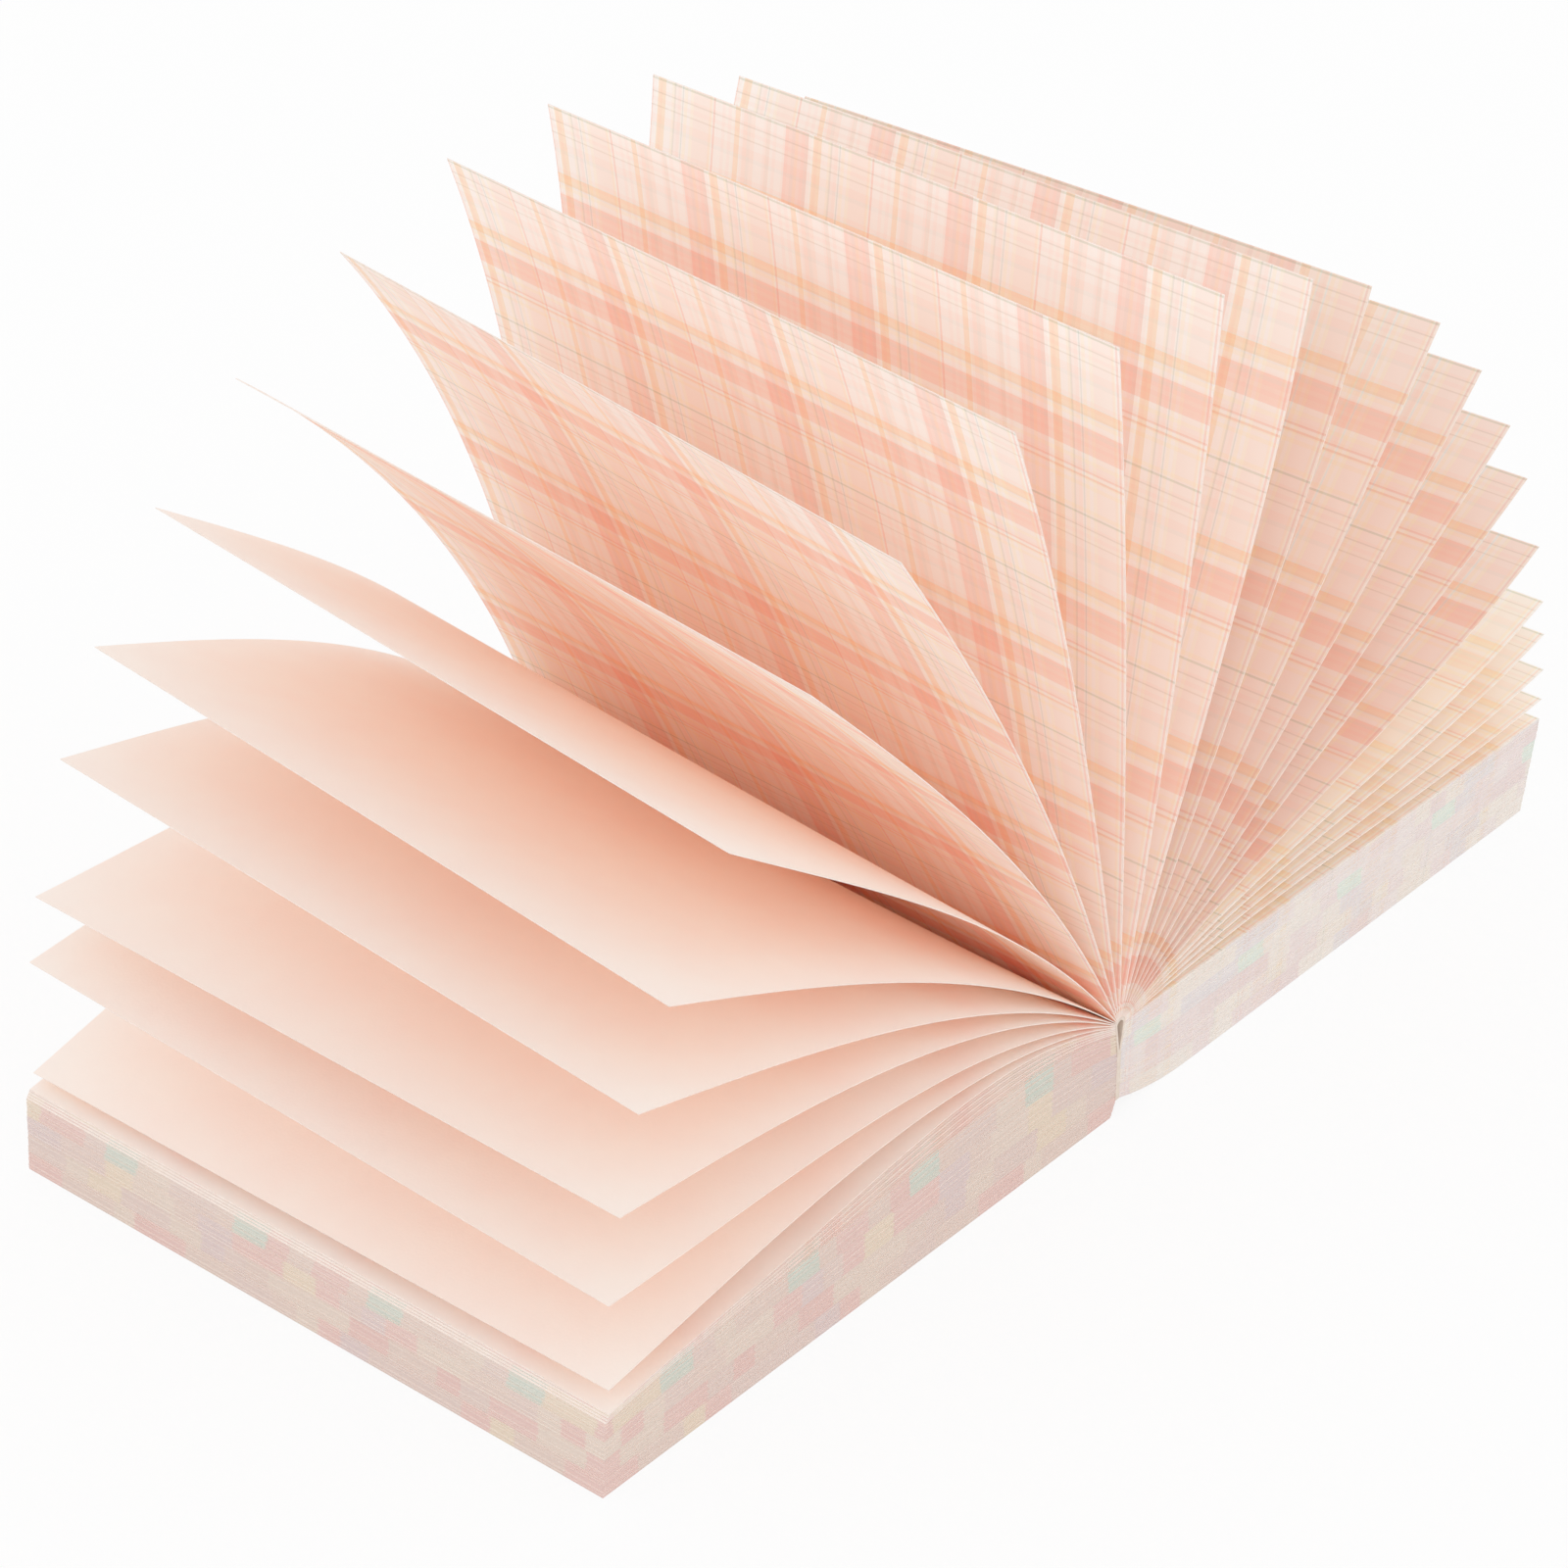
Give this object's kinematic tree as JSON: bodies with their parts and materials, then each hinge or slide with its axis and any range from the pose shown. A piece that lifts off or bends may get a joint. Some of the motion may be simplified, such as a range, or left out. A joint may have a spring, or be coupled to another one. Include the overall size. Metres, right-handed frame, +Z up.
{
  "type": "padded stack of scrapbook paper",
  "caption": "Thick square pad of printed scrapbook paper, glued along one edge and lying open, with a fan of curved single leaves between two packed blocks of sheets.",
  "frame": {"origin": "on the table, in the plane of the fold, halfway along the glued edge", "axes": "+X from the fold over the right block, +Y along the glued edge, +Z up from the table"},
  "size_m": [0.2, 0.1, 0.114],
  "materials": {
    "sheet_edges": "matte",
    "blank_sheet": "matte",
    "printed_sheet": "matte",
    "padding_glue": "satin"
  },
  "bodies": {
    "root": {"glue_spine": "padding_glue", "left_block": "sheet_edges", "right_block": "sheet_edges", "loose_sheet_1": "blank_sheet", "loose_sheet_2": "blank_sheet", "loose_sheet_3": "blank_sheet", "loose_sheet_4": "blank_sheet", "loose_sheet_5": "blank_sheet", "loose_sheet_6": "blank_sheet", "loose_sheet_7": "blank_sheet", "loose_sheet_8": "blank_sheet", "leaf_1": "printed_sheet", "leaf_2": "printed_sheet", "leaf_3": "printed_sheet", "leaf_4": "printed_sheet", "leaf_5": "printed_sheet", "leaf_6": "printed_sheet", "leaf_7": "printed_sheet", "leaf_8": "printed_sheet", "leaf_9": "printed_sheet", "leaf_10": "printed_sheet", "leaf_11": "printed_sheet", "leaf_12": "printed_sheet", "leaf_13": "printed_sheet", "leaf_14": "printed_sheet", "leaf_15": "printed_sheet", "leaf_16": "printed_sheet", "leaf_17": "printed_sheet", "leaf_18": "printed_sheet", "leaf_19": "printed_sheet", "leaf_20": "printed_sheet", "leaf_21": "printed_sheet", "leaf_22": "printed_sheet"}
  },
  "joints": []
}
